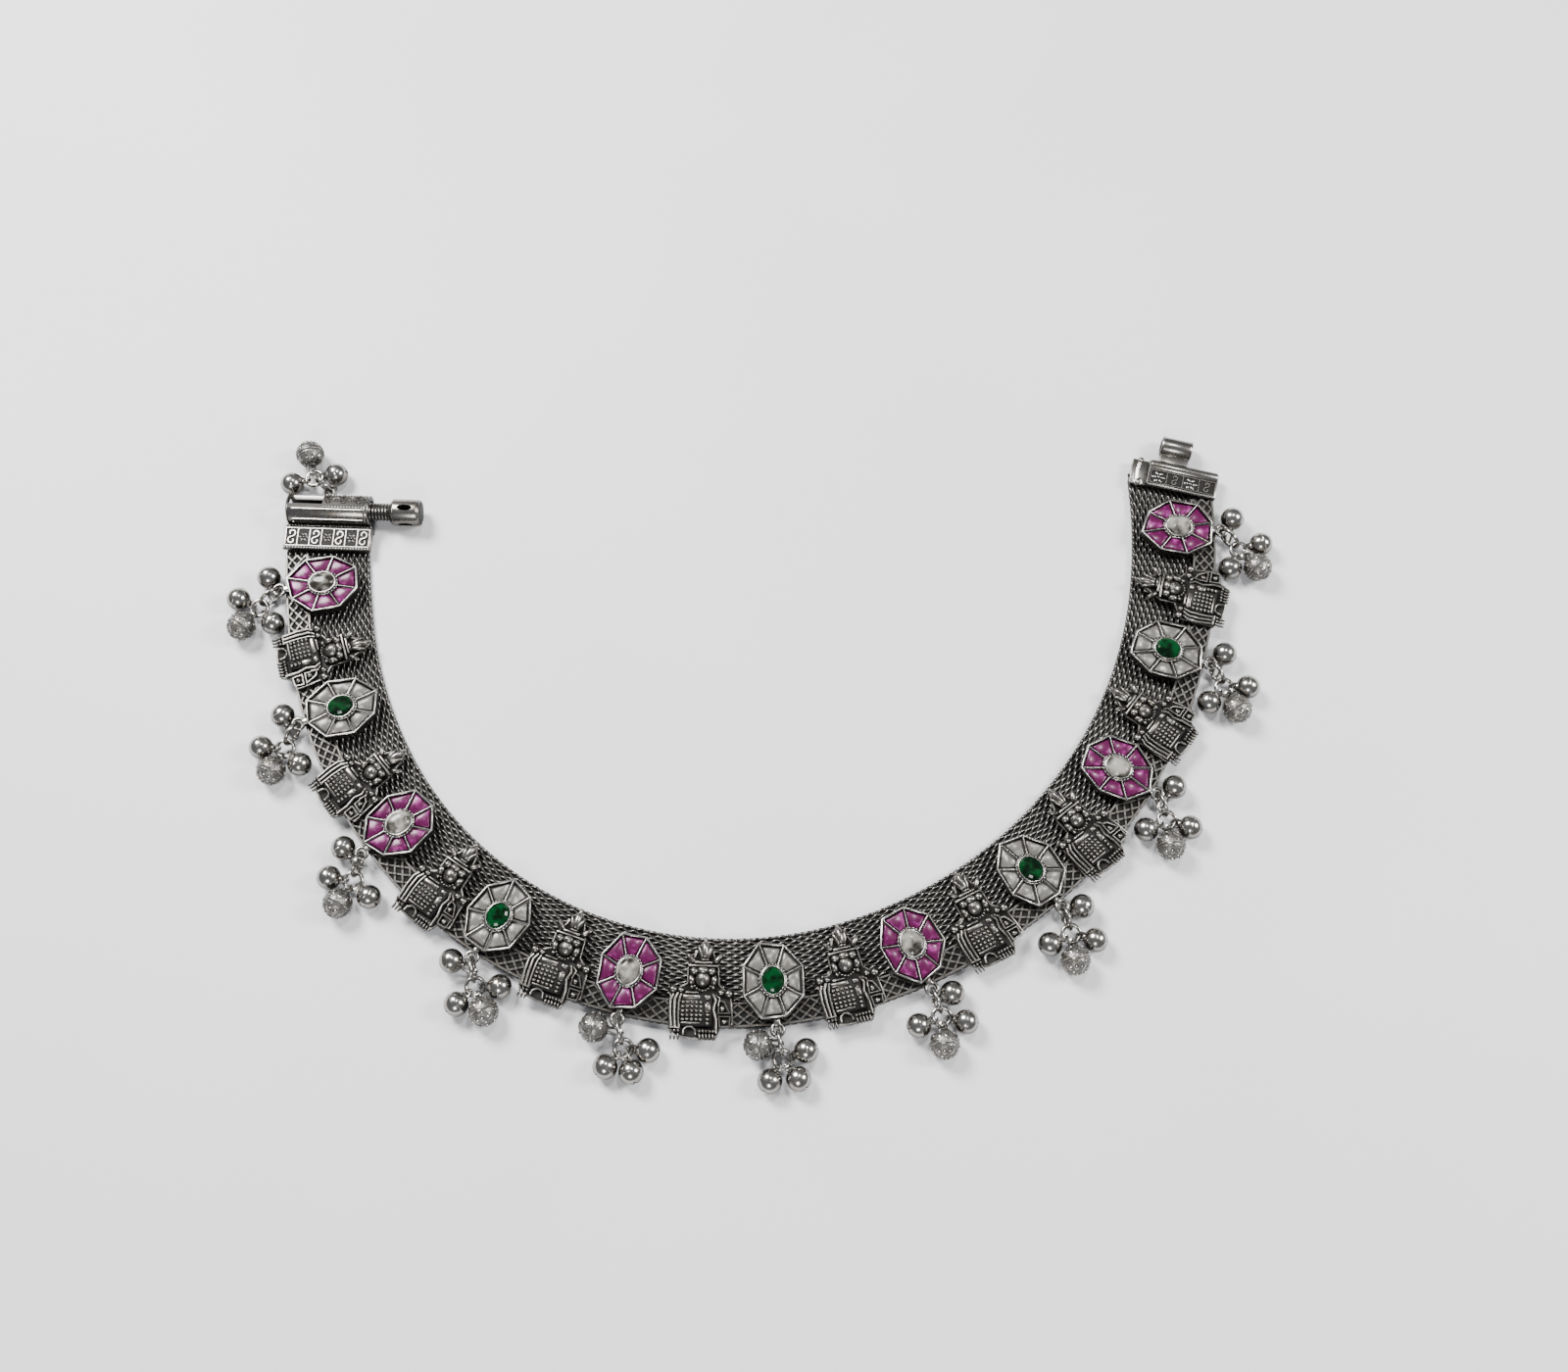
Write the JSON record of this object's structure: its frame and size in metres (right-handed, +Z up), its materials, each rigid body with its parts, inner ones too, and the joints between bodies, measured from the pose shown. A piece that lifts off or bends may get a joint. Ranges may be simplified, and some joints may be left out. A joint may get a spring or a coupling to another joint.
{
  "type": "payal anklet",
  "caption": "Anklet of woven oxidised silver band with jewelled medallions, cast figures, clusters of small bells and a screw clasp, opened and laid flat in a U",
  "frame": {"origin": "on the floor under the middle of the object's bounding box", "axes": "+X across the U from the screw pin's end to the knuckle's end, +Y towards the U's open side, +Z up from the floor"},
  "size_m": [0.1874, 0.1186, 0.0056],
  "materials": {
    "woven_silver": "woven oxidised silver wire",
    "cast_silver": "cast silver with dark recesses",
    "oxidised_silver": "dark oxidised silver",
    "bright_silver": "polished silver",
    "pink_petal_setting": "silver setting with pink glass petals",
    "clear_petal_setting": "silver setting with clear foiled petals",
    "green_glass": "faceted green stone",
    "opal_glass": "pale domed stone"
  },
  "bodies": {
    "anklet": {"mesh_band": "woven_silver", "edge_lattice": "oxidised_silver", "medallion_01": "pink_petal_setting", "center_stone_01": "opal_glass", "bell_cluster_01": "bright_silver", "medallion_02": "clear_petal_setting", "center_stone_02": "green_glass", "bell_cluster_02": "bright_silver", "medallion_03": "pink_petal_setting", "center_stone_03": "opal_glass", "bell_cluster_03": "bright_silver", "medallion_04": "clear_petal_setting", "center_stone_04": "green_glass", "bell_cluster_04": "bright_silver", "medallion_05": "pink_petal_setting", "center_stone_05": "opal_glass", "bell_cluster_05": "bright_silver", "medallion_06": "clear_petal_setting", "center_stone_06": "green_glass", "bell_cluster_06": "bright_silver", "medallion_07": "pink_petal_setting", "center_stone_07": "opal_glass", "bell_cluster_07": "bright_silver", "medallion_08": "clear_petal_setting", "center_stone_08": "green_glass", "bell_cluster_08": "bright_silver", "medallion_09": "pink_petal_setting", "center_stone_09": "opal_glass", "bell_cluster_09": "bright_silver", "medallion_10": "clear_petal_setting", "center_stone_10": "green_glass", "bell_cluster_10": "bright_silver", "medallion_11": "pink_petal_setting", "center_stone_11": "opal_glass", "bell_cluster_11": "bright_silver", "figure_01": "cast_silver", "figure_02": "cast_silver", "figure_03": "cast_silver", "figure_04": "cast_silver", "figure_05": "cast_silver", "figure_06": "cast_silver", "figure_07": "cast_silver", "figure_08": "cast_silver", "figure_09": "cast_silver", "figure_10": "cast_silver", "clasp_barrel": "cast_silver", "clasp_knuckle": "cast_silver", "clasp_bells": "bright_silver"},
    "pin": {"clasp_pin": "bright_silver"}
  },
  "joints": [
    {"name": "pin_slide", "type": "slide", "parent": "anklet", "child": "pin", "axis": [0.9994, -0.0349, 0], "range_m": [-0.0034, 0.011]}
  ]
}
